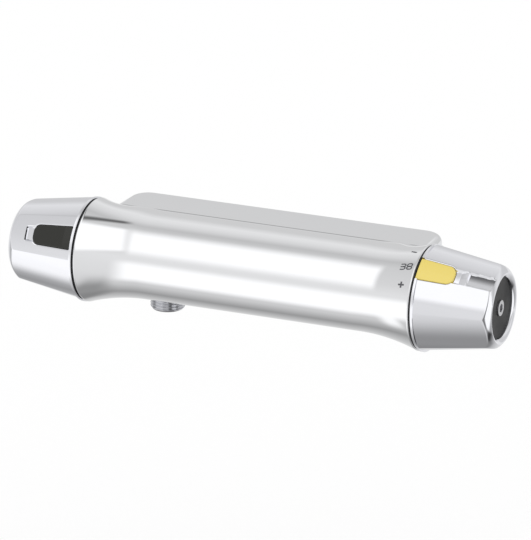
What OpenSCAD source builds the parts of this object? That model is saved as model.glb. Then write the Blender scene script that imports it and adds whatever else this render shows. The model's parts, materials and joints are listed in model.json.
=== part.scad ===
// Thermostatic shower mixer for a wall: a waisted chrome body with a rear block, a flow handle on the
// left, a temperature handle on the right, and two union nuts that take the water pipes.
// X runs along the mixer from left to right, the front faces -Y and Z is up. The origin lies midway
// between the two inlets, in the plane of the mouths of their union nuts.

/* [Body] */
// Diameter of the body between its flares
waist_d = 50; // [46:1:54]
// Diameter of the body at its two end rings
ring_d = 63; // [60:0.5:68]
// Length of the body from end ring to end ring
body_l = 212; // [206:1:224]
// Length of the flare next to each end ring
flare_l = 38; // [30:1:44]
// Length of the rear block along its back face
block_l = 200; // [196:1:203]
// Height of the rear block
block_h = 48; // [46:1:50]
// Distance from the body's axis to the back face of the block
block_back = 46; // [42:1:50]
// How much the block widens from its back face to the body's axis, at each end
block_draft = 1; // [0.5:0.5:2]
// Radius of the block's upright back corners
block_corner_r = 6; // [3:0.5:8]
// Radius of the block's end edges, above and below
block_edge_r = 8; // [6:0.5:10]

/* [Connections] */
// Distance between the two inlets
inlet_cc = 150; // [146:1:156]
// Diameter of the union nuts' thread at its crests
union_thread_d = 24.12; // [23.6:0.02:24.6]
// Width of a union nut across its flats
union_af = 30; // [29:0.5:32]
// Outer diameter of the outlet's thread
outlet_d = 20.96; // [20:0.02:22]
// How far the outlet stands below the block
outlet_l = 10.5; // [9:0.5:14]
// Distance of the outlet to the left of the middle
outlet_x = 64; // [62:1:66]
// Distance of the outlet behind the body's axis
outlet_back = 12; // [11:0.5:13]

/* [Handles] */
// Length of a handle from the gap to its end
handle_l = 46; // [44:1:49]
// Radius of a handle at the middle of a flat, next to the gap
flat_r = 30.5; // [30:0.1:31]
// Radius of the crown across each flat
crown_r = 45; // [38:1:60]
// Slope of the flats towards the handle's end, in degrees
handle_taper = 9; // [8:0.5:10]
// Number of flats round a handle
flat_count = 7; // [6:1:8]
// Radius of the round shoulder at the handle's end
shoulder_r = 12; // [11:0.5:16]
// Diameter of the end disc
disc_d = 36; // [32:0.5:38]
// Depth of the end disc below the handle's end
disc_recess = 2.8; // [2:0.1:3.2]
// Width of the visible gap between body and handle
gap_w = 1.2; // [0.8:0.1:1.6]
// Angle of the flow button above the horizontal, seen from the front
flow_angle = 30; // [20:1:60]
// Angle of the temperature button above the horizontal, seen from the front
temp_angle = 53; // [30:1:70]

/* [Buttons] */
// Width of a button at the gap
button_w = 14; // [12:0.5:15]
// Width of a button at its far end
button_end_w = 11.6; // [10:0.2:12]
// Length of the temperature button
temp_button_l = 21.4; // [18:0.2:23]
// Length of the flow button
flow_button_l = 26.4; // [20:0.2:27]
// Distance from the gap to the flow button
flow_button_in = 2.2; // [1.6:0.1:3]
// Travel of a button when it is pressed
button_travel = 1.5; // [1:0.1:1.8]

/* [Cartridges] */
// Diameter of the bores that hold the cartridges
bore_d = 38; // [37:0.5:39]
// Depth of the thermostat's bore from the end ring
thermo_depth = 60; // [58:1:62]
// Depth of the flow cartridge's bore from the end ring
flow_depth = 50; // [49:1:52]
// Diameter of the spindles
spindle_d = 10; // [9:0.5:11]
// Diameter of the cartridges' necks
neck_d = 22; // [21:0.5:24]
// Lift of the thermostat for one turn of its handle
thermo_pitch = 6; // [4:0.5:7]
// How far the temperature handle turns to the cold end, in degrees
cold_turn = 150; // [120:5:170]
// How far the temperature handle turns to the hot end, in degrees
hot_turn = 60; // [40:5:80]
// How far the flow handle turns from shut to fully open, in degrees
flow_turn = 90; // [90:5:120]

/* [Hidden] */
$fn = 96;

// Clearances and the overrun of cuts
over = 1;
slip = 0.1;
running = 0.05;
seat_gap = 0.05;
button_gap = 0.3;
turn_gap = 0.3;

// Body
waist_r = waist_d / 2;
ring_r = ring_d / 2;
ring_x = body_l / 2;
flare_x = ring_x - flare_l;
flare_rise = ring_r - waist_r;
flare_r = (flare_l * flare_l + flare_rise * flare_rise) / (2 * flare_rise);
edge_r = 0.6;
union_l = 15.2;
union_clear = 0.8;
axis_back = block_back + union_clear + union_l;
block_end_x = block_l / 2;
bore_r = bore_d / 2;
duct_r = 8;
inlet_r = 9;
side_duct_r = 6;
hot_port_r = 5.4;
side_duct_back = 33;
inlet_floor = 24;
hot_port_x = ring_x - thermo_depth + side_duct_r;

// Inlet spigot, nut, strainer and non-return valve
spigot_root_r = 11;
spigot_root_l = 12;
spigot_r = 9.8;
spigot_bore_r = 8;
spigot_flange_r = 12.2;
spigot_flange_t = 2;
nut_lip_t = 2.4;
nut_undercut_r = 12.7;
nut_undercut_l = 4.4;
nut_chamfer = 1.5;
strainer_r = 11.9;
strainer_t = 1.6;
strainer_bore_r = 6.4;
strainer_cup_r = 7.2;
strainer_cup_l = 6;
strainer_wall = 0.8;
strainer_slot_w = 1.2;
strainer_slots = 8;
cage_r = 7.9;
cage_wall = 1.2;
cage_l = 9;
cage_seat_r = 4.2;
cage_seat_t = 1.4;
cage_hub_r = 2.8;
cage_hub_t = 1.6;
cage_rib_w = 1.4;
cage_ribs = 3;
cage_in = 1.2;
poppet_r = 5.4;
poppet_t = 1.5;
poppet_stem_r = 1.5;
valve_gap = 0.1;

// Outlet
outlet_r = outlet_d / 2;
outlet_bore_r = 7;
outlet_floor = 0.6;
outlet_root_l = block_h / 2 - bore_r - outlet_floor;
outlet_face_w = 3.2;
outlet_face_r = outlet_r + outlet_face_w;
outlet_root_r = 9.8;
outlet_chamfer = 1.2;
outlet_port_r = 7.5;

// Cartridge ends, shared by both sides
neck_r = neck_d / 2;
neck_l = 15;
spindle_r = spindle_d / 2;
nut_l = 7;
nut_back = 1;
nut_slot_w = 4;
nut_slot_t = 2.5;
housing_front_t = 6;
stop_t = 4.2;
stop_in = 0.8;
stop_r = 17;
stop_arc_r = 20.2;
stop_rib_angle = 200;
stop_rib_w = 5;
stop_slack = 1;
glide_t = 0.9;
glide_in_r = 25;
glide_down = 0.8;
housing_end_x = ring_x - nut_back - nut_l;
neck_end_x = housing_end_x + neck_l;

// Thermostat
thermo_wall = 4.9;
oring_tube_r = 1.3;
oring_groove_w = 2.8;
hot_slot_w = 4;
cold_slot_w = 4;
slot_count = 6;
slot_bar = 4;
slot_recess = 1.5;
slot_recess_w = 8;
hot_cover = 2.6;
cold_cover = 1.8;
thermo_end_gap = 0.2;
thermo_seat_t = 1.9;
thermo_in_r = bore_r - slip - thermo_wall;
thermo_x = ring_x - thermo_depth + thermo_end_gap;
hot_slot_x = hot_port_x;
cold_slot_x = inlet_cc / 2;
piston_x = hot_slot_x - hot_slot_w / 2 + hot_cover;
piston_end_x = cold_slot_x - cold_slot_w / 2 + cold_cover;
piston_wall = 3;
web_in = 8;
web_t = 3;
web_x = piston_x + web_in;
web_hole_r = 1.4;
web_hole_pitch_r = 9;
wax_r = 4.5;
wax_l = 14;
wax_flange_r = 7;
wax_flange_t = 2.4;
wax_x = web_x + web_t;
wax_pin_r = 1.6;
wax_pin_out = 4;
wax_pin_in = 6;
plunger_x = wax_x + wax_flange_t + wax_pin_out;
plunger_r = 6.2;
plunger_t = 1.6;
regulator_r = 9.5;
regulator_mouth = 1;
regulator_cup_r = 6.5;
regulator_cup_l = 10;
regulator_floor = 2;
regulator_key_w = 3;
regulator_key_r = 15;
key_slack = 0.2;
lift_cold = thermo_pitch * cold_turn / 360;
lift_hot = thermo_pitch * hot_turn / 360;
collar_t = 1;
collar_r = 6;
spindle_x = housing_end_x - housing_front_t - seat_gap;
regulator_x = plunger_x - regulator_mouth;
regulator_end_x = spindle_x - collar_t - lift_hot - key_slack;
groove_x = cold_slot_x + cold_slot_w / 2 + regulator_mouth / 2;
key_x = groove_x + lift_cold + key_slack;
overload_r = 4.6;
overload_wire_r = 0.7;
return_spring_r = 9.6;
return_wire_r = 0.8;
spindle_thread_r = 4;
spindle_inner_l = 9;

// Flow cartridge
flow_base_t = 4;
flow_pipe_l = 22;
flow_pipe_wall = 1.9;
ceramic_r = 14.6;
ceramic_t = 4;
port_r = 2.9;
port_pitch_r = 11.2;
passage_depth = 2.4;
driver_r = 12;
driver_t = 4;
flow_base_in = 36;
flow_base_x = ring_x - flow_base_in;

// Handles
handle_x = ring_x + gap_w;
handle_end_x = handle_x + handle_l;
rim_w = 1.6;
flat_step = 360 / flat_count;
shoulder_l = 7.2;
shoulder_start_r = 26;
shoulder_lip = 2.9;
lip_l = 1.6;
cap_rise = 2;
disc_r = disc_d / 2;
disc_t = 1.2;
disc_gap = 0.1;
handle_wall = 3;
cavity_l = 27;
cavity_end_x = handle_x + cavity_l;
insert_seat_l = 6;
insert_seat_r = 22;
end_wall = 5;
end_pocket_r = 14;
screw_head_r = 4.6;
screw_head_t = 2.1;
screw_r = 2.5;
screw_slack = 0.2;
socket_af = 4.6;
socket_depth = 1.7;
insert_hub_r = 9;
insert_hub_l = 22;
insert_drum_r = 22.2;
button_foot_r = insert_drum_r + button_travel + button_gap;
insert_drum_wall = 1.5;
insert_flange_t = 4;
drum_in = 0.4;
drum_x = handle_x + drum_in;
spline_l = 12;
screw_reach = 6;

// Buttons, their windows and the dishes beyond them
window_corner_r = 4.2;
button_ear_w = 1.2;
button_ear_h = 0.6;
button_ear_l = 5;
button_proud = 0.2;
dish_depth = 1.4;
dish_w = 9.6;
dish_end_w = 8.6;
temp_dish_l = 7.6;
flow_dish_l = 5.4;
scoop_r = 12;
scoop_depth = 0.9;
spring_wire_r = 0.35;
button_spring_r = 2.6;
button_spring_in = 9;
button_pocket = 2.6;
check_spring_r = 2.4;
check_wire_r = 0.3;

// Places the children on the mixer's axis
module on_axis() {
    translate([0, -axis_back, 0]) children();
}

// Turns a profile of radius and place along X round the mixer's axis
module turned() {
    rotate([0, 90, 0]) rotate_extrude() children();
}

// Round bar along X from x0 to x1
module bar(r, x0, x1, sides = $fn) {
    translate([x0, 0, 0]) rotate([0, 90, 0]) cylinder(r = r, h = x1 - x0, $fn = sides);
}

// Round tube along X
module tube(r_out, r_in, x0, x1) {
    difference() {
        bar(r_out, x0, x1);
        bar(r_in, x0 - over, x1 + over);
    }
}

// Turns the children about X, so that their +Z side points at the given angle above the front
module at_angle(angle) {
    rotate([90 - angle, 0, 0]) children();
}

// Round bar along Y behind the axis, from y0 to y1
module bar_y(r, y0, y1) {
    translate([0, y0, 0]) rotate([-90, 0, 0]) cylinder(r = r, h = y1 - y0);
}

// Mirrors the right-hand construction to the left end of the mixer
module left_side() {
    mirror([1, 0, 0]) children();
}

// Spring along Z from z0 to z1: one unbroken tube with closed ends, made of rings of six points
function coil_point(radius, z0, z1, turns, share) =
    [radius * cos(360 * turns * share), radius * sin(360 * turns * share), z0 + (z1 - z0) * share];
function coil_ring(radius, wire, z0, z1, turns, share) =
    let (c = coil_point(radius, z0, z1, turns, share), a = 360 * turns * share)
    [for (k = [0:5]) [
        c[0] + wire * cos(60 * k) * cos(a),
        c[1] + wire * cos(60 * k) * sin(a),
        c[2] + wire * sin(60 * k)]];

module coil(radius, wire, z0, z1, turns) {
    rings = turns * 8;
    points = [for (i = [0:rings]) each coil_ring(radius, wire, z0 + wire, z1 - wire, turns, i / rings)];
    sides = [for (i = [0:rings - 1], k = [0:5], half = [0:1])
        let (a = i * 6 + k, b = i * 6 + (k + 1) % 6)
        half == 0 ? [a, b, a + 6] : [b, b + 6, a + 6]];
    first = [for (k = [1:4]) [0, k + 1, k]];
    last = [for (k = [1:4]) [rings * 6, rings * 6 + k, rings * 6 + k + 1]];
    polyhedron(points = points, faces = concat(sides, first, last));
}

// Outline of the body of revolution: straight waist, and a flare at each end that meets the end ring
module body_profile() {
    difference() {
        translate([0, -ring_x]) square([ring_r, 2 * ring_x]);
        translate([waist_r, -flare_x]) square([flare_r, 2 * flare_x]);
        for (side = [0, 1]) mirror([0, side]) {
            translate([waist_r + flare_r, flare_x]) circle(r = flare_r, $fn = 200);
            translate([ring_r - edge_r, ring_x - edge_r]) difference() {
                square([2 * edge_r, 2 * edge_r]);
                circle(r = edge_r, $fn = 24);
            }
        }
    }
}

// Front view of the rear block: ends with round upper and lower edges
module block_front() {
    end_x = block_end_x + block_draft;
    difference() {
        translate([-end_x, -block_h / 2]) square([2 * end_x, block_h]);
        for (side = [-1, 1], level = [-1, 1])
            translate([side * (end_x - block_edge_r), level * (block_h / 2 - block_edge_r)]) difference() {
                translate([side > 0 ? 0 : -2 * block_edge_r, level > 0 ? 0 : -2 * block_edge_r])
                    square([2 * block_edge_r, 2 * block_edge_r]);
                circle(r = block_edge_r, $fn = 48);
            }
    }
}

// Plan of the rear block: ends that draw in towards the back, with round back corners
module block_plan() {
    difference() {
        polygon([
            [-block_end_x - block_draft, 0], [block_end_x + block_draft, 0],
            [block_end_x, block_back], [-block_end_x, block_back]]);
        for (side = [-1, 1]) translate([side * (block_end_x - block_corner_r), block_back - block_corner_r])
            difference() {
                translate([side > 0 ? 0 : -2 * block_corner_r, 0])
                    square([2 * block_corner_r, 2 * block_corner_r]);
                circle(r = block_corner_r, $fn = 48);
            }
    }
}

module mixer_body() {
    color("gainsboro") on_axis() difference() {
        union() {
            turned() body_profile();
            intersection() {
                translate([0, 0, -block_h / 2]) linear_extrude(block_h) block_plan();
                rotate([-90, 0, 0]) linear_extrude(block_back) block_front();
            }
        }
        bar(bore_r, ring_x - thermo_depth, ring_x + over);
        bar(bore_r, -ring_x - over, flow_depth - ring_x);
        bar(duct_r, flow_depth - ring_x - over, ring_x - thermo_depth + over);
        // cold inlet opens into the thermostat's bore, the hot one into a side duct
        translate([inlet_cc / 2, 0, 0]) bar_y(inlet_r, 0, block_back + over);
        translate([-inlet_cc / 2, 0, 0]) bar_y(inlet_r, inlet_floor, block_back + over);
        translate([0, side_duct_back, 0]) bar(side_duct_r, -inlet_cc / 2, hot_port_x + side_duct_r + over);
        translate([hot_port_x, 0, 0]) bar_y(hot_port_r, 0, side_duct_back);
        for (side = [-1, 1]) translate([side * inlet_cc / 2, 0, 0])
            bar_y(spigot_root_r + seat_gap, block_back - spigot_root_l, block_back + over);
        // outlet, with the seat for its nipple
        translate([-outlet_x, outlet_back, -block_h / 2 - over]) {
            cylinder(r = outlet_port_r, h = block_h / 2);
            cylinder(r = outlet_root_r + seat_gap, h = outlet_root_l + over);
            // face for the nipple's collar where the round body reaches below the block
            translate([0, 0, over - waist_r]) cylinder(r = outlet_face_r, h = waist_r);
        }
    }
}

module outlet_nipple() {
    color("silver") on_axis() translate([-outlet_x, outlet_back, -block_h / 2]) rotate_extrude() polygon([
        [outlet_bore_r, outlet_root_l - seat_gap], [outlet_root_r, outlet_root_l - seat_gap],
        [outlet_root_r, 0], [outlet_r, 0],
        [outlet_r, outlet_chamfer - outlet_l], [outlet_r - outlet_chamfer, -outlet_l],
        [outlet_bore_r, -outlet_l]]);
}

// Inlet: pieces along +Y behind the block, side -1 for hot and +1 for cold
module at_inlet(side) {
    on_axis() translate([side * inlet_cc / 2, block_back, 0]) children();
}

module inlet_spigot(side) {
    flange_y = union_clear + nut_lip_t + turn_gap;
    color("goldenrod") at_inlet(side) difference() {
        union() {
            bar_y(spigot_root_r, seat_gap - spigot_root_l, 0);
            bar_y(spigot_r, -over, flange_y + spigot_flange_t);
            bar_y(spigot_flange_r, flange_y, flange_y + spigot_flange_t);
        }
        bar_y(spigot_bore_r, -spigot_root_l - over, flange_y + spigot_flange_t + over);
    }
}

module union_nut(side) {
    thread_y = union_clear + nut_lip_t + nut_undercut_l;
    end_y = union_clear + union_l;
    corner_r = union_af / 2 / cos(30);
    color("gainsboro") at_inlet(side) difference() {
        intersection() {
            translate([0, union_clear, 0]) rotate([-90, 0, 0]) cylinder(r = corner_r, h = union_l, $fn = 6);
            translate([0, union_clear, 0]) rotate([-90, 0, 0]) rotate_extrude() polygon([
                [0, 0], [corner_r - nut_chamfer, 0], [corner_r, nut_chamfer / 2],
                [corner_r, union_l - nut_chamfer / 2], [corner_r - nut_chamfer, union_l], [0, union_l]]);
        }
        bar_y(spigot_r + slip, 0, thread_y);
        bar_y(nut_undercut_r, union_clear + nut_lip_t, thread_y);
        bar_y(union_thread_d / 2, thread_y - over, end_y + over);
    }
}

module strainer(side) {
    seat_y = union_clear + nut_lip_t + turn_gap + spigot_flange_t;
    color("dimgray") at_inlet(side) difference() {
        union() {
            bar_y(strainer_r, seat_y, seat_y + strainer_t);
            bar_y(strainer_cup_r, seat_y - strainer_cup_l, seat_y + strainer_t / 2);
        }
        bar_y(strainer_cup_r - strainer_wall, seat_y - strainer_cup_l + strainer_wall, seat_y + strainer_t + over);
        for (k = [0:strainer_slots - 1]) rotate([0, k * 360 / strainer_slots, 0])
            translate([strainer_cup_r / 2, seat_y - strainer_cup_l + strainer_wall + over / 2, -strainer_slot_w / 2])
                cube([strainer_cup_r, strainer_cup_l - strainer_wall - over, strainer_slot_w]);
    }
}

// Non-return valve: the cage's mouth end lies nearest the strainer, water lifts the poppet towards the body
cage_y1 = union_clear + nut_lip_t + turn_gap + spigot_flange_t - strainer_cup_l - cage_in;
cage_y0 = cage_y1 - cage_l;

module check_cage(side) {
    color("white") at_inlet(side) {
        difference() {
            bar_y(cage_r, cage_y0, cage_y1);
            bar_y(cage_r - cage_wall, cage_y0 - over, cage_y1 - cage_seat_t);
            bar_y(cage_seat_r, cage_y0, cage_y1 + over);
        }
        difference() {
            union() {
                bar_y(cage_hub_r, cage_y0, cage_y0 + cage_hub_t);
                for (k = [0:cage_ribs - 1]) rotate([0, k * 360 / cage_ribs, 0])
                    translate([0, cage_y0, -cage_rib_w / 2])
                        cube([cage_r - cage_wall / 2, cage_hub_t, cage_rib_w]);
            }
            bar_y(poppet_stem_r + running, cage_y0 - over, cage_y0 + cage_hub_t + over);
        }
    }
}

module check_poppet(side) {
    top_y = cage_y1 - cage_seat_t - valve_gap;
    color("orangered") at_inlet(side) {
        bar_y(poppet_r, top_y - poppet_t, top_y);
        bar_y(poppet_stem_r, cage_y0, top_y - poppet_t / 2);
    }
}

module check_spring(side) {
    top_y = cage_y1 - cage_seat_t - valve_gap - poppet_t;
    color("silver") at_inlet(side) rotate([-90, 0, 0])
        coil(check_spring_r, check_wire_r, cage_y0 + cage_hub_t + valve_gap, top_y - valve_gap, 3);
}

// Pieces at the ends of both bores, written for the right-hand end
module glide_ring() {
    tube(ring_r - glide_down, glide_in_r, ring_x, ring_x + glide_t);
}

module retaining_nut() {
    difference() {
        tube(bore_r - seat_gap, neck_r + slip, housing_end_x, housing_end_x + nut_l);
        for (side = [-1, 1]) translate([housing_end_x + nut_l - nut_slot_t, side * (bore_r + neck_r) / 2, 0])
            translate([0, -bore_r / 2, -nut_slot_w / 2]) cube([nut_slot_t + over, bore_r, nut_slot_w]);
    }
}

// Ring with an arc that stops the handle's rib at both ends of a turn
module stop_ring(back, ahead) {
    x0 = ring_x + stop_in;
    rib_half = asin(stop_rib_w / 2 / stop_r) + stop_slack;
    span = 360 - back - ahead - 2 * rib_half;
    difference() {
        union() {
            bar(stop_r, x0, x0 + stop_t);
            at_angle(stop_rib_angle - ahead - rib_half + 180) rotate([0, 90, 0])
                rotate_extrude(angle = span) translate([neck_r + over, x0])
                    square([stop_arc_r - neck_r - over, stop_t]);
        }
        bar(neck_r + seat_gap, x0 - over, x0 + stop_t + over);
    }
}

// Neck and front wall shared by both cartridge housings
module housing_front() {
    difference() {
        union() {
            bar(bore_r - slip, housing_end_x - housing_front_t, housing_end_x);
            bar(neck_r, housing_end_x - over, neck_end_x);
        }
        bar(spindle_r + running, housing_end_x - housing_front_t - over, neck_end_x + over);
    }
}

module oring_at(x) {
    turned() translate([bore_r - slip - oring_tube_r, x]) circle(r = oring_tube_r, $fn = 24);
}

module oring_groove(x) {
    tube(bore_r + over, bore_r - slip - 2 * oring_tube_r, x - oring_groove_w / 2, x + oring_groove_w / 2);
}

// Thermostat
thermo_ring_xs = [(hot_slot_x + cold_slot_x - side_duct_r) / 2, housing_end_x - housing_front_t / 2];

module ring_of_slots(x, w) {
    for (k = [0:slot_count - 1]) at_angle(k * 360 / slot_count)
        translate([x - w / 2, -slot_bar, thermo_in_r - over]) cube([w, 2 * slot_bar, thermo_wall + 2 * over]);
    tube(bore_r + over, bore_r - slip - slot_recess, x - slot_recess_w / 2, x + slot_recess_w / 2);
}

module thermo_housing() {
    inner_x = housing_end_x - housing_front_t;
    color("ivory") on_axis() {
        difference() {
            tube(bore_r - slip, thermo_in_r, thermo_x, inner_x + over);
            ring_of_slots(hot_slot_x, hot_slot_w);
            ring_of_slots(cold_slot_x, cold_slot_w);
            oring_groove(thermo_ring_xs[0]);
            // guide grooves that keep the regulating nut from turning
            for (turn = [0, 180]) rotate([turn, 0, 0])
                translate([groove_x, thermo_in_r - over, -regulator_key_w / 2 - slip])
                    cube([inner_x - groove_x, regulator_key_r + key_slack + over - thermo_in_r,
                        regulator_key_w + 2 * slip]);
        }
        difference() {
            housing_front();
            oring_groove(thermo_ring_xs[1]);
        }
        // seat of the return spring at the inner end
        tube(thermo_in_r + over, duct_r, thermo_x, thermo_x + thermo_seat_t);
    }
}

module thermo_orings() {
    color("black") on_axis() for (x = thermo_ring_xs) oring_at(x);
}

module mixing_piston() {
    color("white") on_axis() {
        tube(thermo_in_r - running, thermo_in_r - piston_wall, piston_x, piston_end_x);
        difference() {
            bar(thermo_in_r - piston_wall + over, web_x, web_x + web_t);
            bar(wax_r + seat_gap, web_x - over, web_x + web_t + over);
            for (k = [0:slot_count - 1]) at_angle(k * 360 / slot_count) translate([0, 0, web_hole_pitch_r])
                bar(web_hole_r, web_x - over, web_x + web_t + over, 24);
        }
    }
}

module wax_element() {
    color("peru") on_axis() difference() {
        union() {
            bar(wax_r, wax_x - wax_l, wax_x + over);
            bar(wax_flange_r, wax_x, wax_x + wax_flange_t);
        }
        bar(wax_pin_r + running, wax_x + wax_flange_t - wax_pin_in, wax_x + wax_flange_t + over);
    }
}

module wax_pin() {
    color("silver") on_axis() bar(wax_pin_r, plunger_x - wax_pin_out - wax_pin_in + 2 * over, plunger_x);
}

module overload_plunger() {
    color("goldenrod") on_axis() bar(plunger_r, plunger_x, plunger_x + plunger_t);
}

module regulating_nut() {
    cup_end_x = regulator_x + regulator_cup_l;
    color("goldenrod") on_axis() difference() {
        union() {
            bar(regulator_r, regulator_x, regulator_end_x);
            for (turn = [0, 180]) rotate([turn, 0, 0])
                translate([key_x, regulator_r - over, -regulator_key_w / 2])
                    cube([regulator_end_x - key_x, regulator_key_r - regulator_r + over, regulator_key_w]);
        }
        bar(regulator_cup_r, regulator_x - over, cup_end_x);
        bar(spindle_thread_r + running, cup_end_x + regulator_floor, regulator_end_x + over);
    }
}

module overload_spring() {
    color("silver") on_axis() rotate([0, 90, 0])
        coil(overload_r, overload_wire_r,
            plunger_x + plunger_t + valve_gap, regulator_x + regulator_cup_l - valve_gap, 3);
}

module return_spring() {
    color("silver") on_axis() rotate([0, 90, 0])
        coil(return_spring_r, return_wire_r, thermo_x + thermo_seat_t + valve_gap, web_x - valve_gap, 4);
}

// Spindle with a splined end, shared by both sides
module spindle_end(x0) {
    difference() {
        bar(spindle_r, x0, neck_end_x + spline_l + over);
        bar(screw_r, neck_end_x + over, neck_end_x + spline_l + 2 * over);
    }
}

module thermo_spindle() {
    color("goldenrod") on_axis() {
        spindle_end(spindle_x);
        bar(spindle_thread_r, spindle_x - spindle_inner_l, spindle_x + over);
        bar(collar_r, spindle_x - collar_t, spindle_x);
    }
}

// Flow cartridge, written for the right-hand end and mirrored
flow_disc_x = flow_base_x + flow_base_t;
flow_in_r = ceramic_r + slip;
module flow_housing_part() {
    inner_x = housing_end_x - housing_front_t;
    difference() {
        tube(bore_r - slip, flow_in_r, flow_disc_x, inner_x + over);
        oring_groove((flow_disc_x + inner_x) / 2);
    }
    housing_front();
}

module flow_base_part() {
    pipe_x = flow_disc_x - flow_pipe_l - flow_base_t;
    difference() {
        union() {
            bar(bore_r - slip, flow_base_x, flow_disc_x);
            bar(duct_r - slip, pipe_x, flow_disc_x);
        }
        bar(duct_r - flow_pipe_wall, pipe_x - over, flow_base_x);
        ports(flow_base_x - over, flow_disc_x + over);
    }
}

// Middle port and the two ports above and below it
module ports(x0, x1) {
    for (z = [-port_pitch_r, 0, port_pitch_r]) translate([0, 0, z]) bar(port_r, x0, x1);
}

module fixed_disc_part() {
    x0 = flow_disc_x + seat_gap;
    difference() {
        bar(ceramic_r, x0, x0 + ceramic_t);
        ports(x0 - over, x0 + ceramic_t + over);
    }
}

// The turning disc has a blind passage, level when the flow is shut
module moving_disc_part() {
    difference() {
        bar(ceramic_r, moving_disc_x, moving_disc_x + ceramic_t);
        for (y = [-port_pitch_r, port_pitch_r]) translate([0, y, 0])
            bar(port_r, moving_disc_x - over, moving_disc_x + passage_depth);
        translate([moving_disc_x - over, -port_pitch_r, -port_r])
            cube([passage_depth + over, 2 * port_pitch_r, 2 * port_r]);
    }
}

moving_disc_x = flow_disc_x + seat_gap + ceramic_t + seat_gap;
driver_x = moving_disc_x + ceramic_t;
module driver_part() {
    bar(driver_r, driver_x, driver_x + driver_t);
}

module flow_spindle_part() {
    spindle_end(driver_x + driver_t);
}

// Handle shell: crowned flats on a taper, cut by the round shoulder, whose arc runs from its start to the lip
module crown_solid(lift) {
    translate([handle_x, 0, flat_r + lift]) rotate([0, handle_taper, 0])
        translate([-handle_l / 2, 0, -crown_r]) rotate([0, 90, 0])
            cylinder(r = crown_r, h = 2 * handle_l, $fn = 180);
}

module shoulder_profile() {
    start = [shoulder_start_r, handle_end_x - shoulder_l];
    end = [disc_d / 2 + shoulder_lip, handle_end_x];
    half = (end - start) / 2;
    inward = [-half[1], half[0]] / norm(half);
    centre = start + half + inward * sqrt(shoulder_r * shoulder_r - half * half);
    polygon([[0, handle_x], [ring_r + cap_rise, handle_x], start, end, [0, handle_end_x]]);
    intersection() {
        translate(centre) circle(r = shoulder_r, $fn = 96);
        translate([0, handle_x]) square([ring_r, handle_l]);
    }
}

module handle_outer(angle) {
    intersection() {
        intersection_for(k = [0:flat_count - 1]) at_angle(angle + k * flat_step) crown_solid(0);
        turned() shoulder_profile();
    }
    bar(ring_r, handle_x, handle_x + rim_w);
}

// Plan of a button or its window in the flat: x along the handle, y across, widening towards the gap
module button_plan(x0, l, grow) {
    end_x = x0 + l + grow;
    half_w = button_w / 2 + grow;
    half_end = button_end_w / 2 + grow;
    corner = window_corner_r + grow;
    difference() {
        polygon([[x0 - grow, -half_w], [end_x, -half_end], [end_x, half_end], [x0 - grow, half_w]]);
        for (side = [-1, 1]) translate([end_x - corner, side * (half_end - corner)]) difference() {
            translate([0, side > 0 ? 0 : -2 * corner]) square([2 * corner, 2 * corner]);
            circle(r = corner, $fn = 48);
        }
    }
}

// Plan of the dish beyond the button
module dish_plan(x0, l) {
    polygon([
        [x0 - button_end_w / 2, -dish_w / 2], [x0 + l, -dish_end_w / 2],
        [x0 + l, dish_end_w / 2], [x0 - button_end_w / 2, dish_w / 2]]);
}

// Places the children on a flat, in its own slope
module tilted(angle) {
    at_angle(angle) translate([handle_x, 0, flat_r]) rotate([0, handle_taper, 0]) children();
}

// Places the children over a flat, square to the axis, at the handle's open end
module over_flat(angle) {
    at_angle(angle) translate([handle_x, 0, 0]) children();
}

module handle_shell(angle, flats_angle, button_in, button_l, dish_l) {
    window_r = insert_drum_r + slip;
    difference() {
        handle_outer(flats_angle);
        // cavity behind the body, seat of the insert, pocket and screw hole in the end wall
        turned() polygon([
            [0, handle_x - over], [flat_r - handle_wall, handle_x - over], [flat_r - handle_wall, handle_x],
            [flat_r - handle_wall - (cavity_end_x - handle_x) * tan(handle_taper), cavity_end_x],
            [0, cavity_end_x]]);
        bar(insert_seat_r, cavity_end_x - over, cavity_end_x + insert_seat_l);
        bar(end_pocket_r, cavity_end_x, handle_end_x - disc_recess - disc_t - end_wall);
        bar(screw_r + screw_slack, cavity_end_x, handle_end_x);
        bar(disc_r + disc_gap, handle_end_x - disc_recess - disc_t, handle_end_x + over);
        // lip that slopes from the handle's end down to the disc
        turned() polygon([
            [0, handle_end_x - lip_l], [disc_r + disc_gap, handle_end_x - lip_l],
            [disc_r + shoulder_lip, handle_end_x], [disc_r + shoulder_lip, handle_end_x + over],
            [0, handle_end_x + over]]);
        // window of the button, and the dish beyond it
        over_flat(angle) translate([0, 0, window_r]) linear_extrude(ring_r)
            button_plan(button_in, button_l, button_gap);
        tilted(angle) translate([0, 0, -dish_depth]) linear_extrude(ring_r)
            dish_plan(button_in + button_l, dish_l);
    }
}

module button(angle, button_in, button_l) {
    difference() {
        intersection() {
            at_angle(angle) crown_solid(button_proud);
            over_flat(angle) translate([0, 0, button_foot_r]) linear_extrude(flat_r)
                button_plan(button_in, button_l, 0);
        }
        over_flat(angle) translate([button_spring_in, 0, button_foot_r - over])
            cylinder(r = button_spring_r + 2 * spring_wire_r, h = button_pocket + over);
    }
    // ears that hold the button under the shell
    for (side = [-1, 1]) over_flat(angle)
        translate([button_in + button_gap, side * button_w / 2 - button_ear_w, button_foot_r])
            cube([button_ear_l, 2 * button_ear_w, button_ear_h]);
}

module button_spring(angle) {
    over_flat(angle) translate([button_spring_in, 0, 0])
        coil(button_spring_r, spring_wire_r,
            insert_drum_r + valve_gap, button_foot_r + button_pocket - valve_gap, 3);
}

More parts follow.
